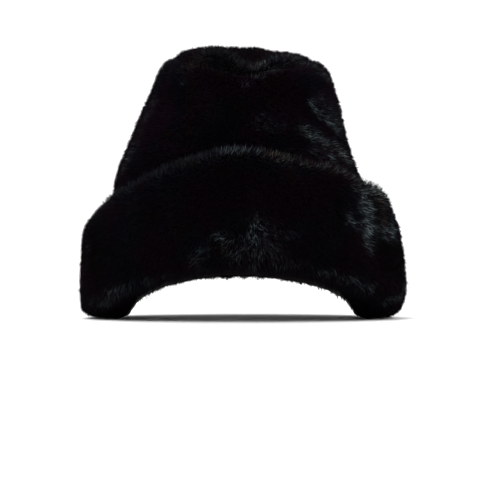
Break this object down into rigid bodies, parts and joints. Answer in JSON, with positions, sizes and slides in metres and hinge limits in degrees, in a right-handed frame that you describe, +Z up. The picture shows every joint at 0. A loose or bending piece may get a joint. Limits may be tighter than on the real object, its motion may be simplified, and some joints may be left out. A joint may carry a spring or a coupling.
{
  "type": "fur hat",
  "caption": "Tall black fur hat: a tapering crown with a dented oval tip and a wide fur cuff turned up all round, open below for the head.",
  "frame": {"origin": "middle of the hat's footprint, on the surface that it rests on", "axes": "+Z up through the crown, -Y towards the front of the hat, +X towards the right of the picture"},
  "size_m": [0.2296, 0.2622, 0.1875],
  "materials": {
    "crown_fur": "sheared black fur, soft bluish grey sheen",
    "tip_fur": "sheared black fur, slightly brown nap",
    "cuff_fur": "sheared black fur, brushed in patches"
  },
  "bodies": {
    "root": {"crown_side": "crown_fur", "crown_tip": "tip_fur", "cuff": "cuff_fur"}
  },
  "joints": []
}
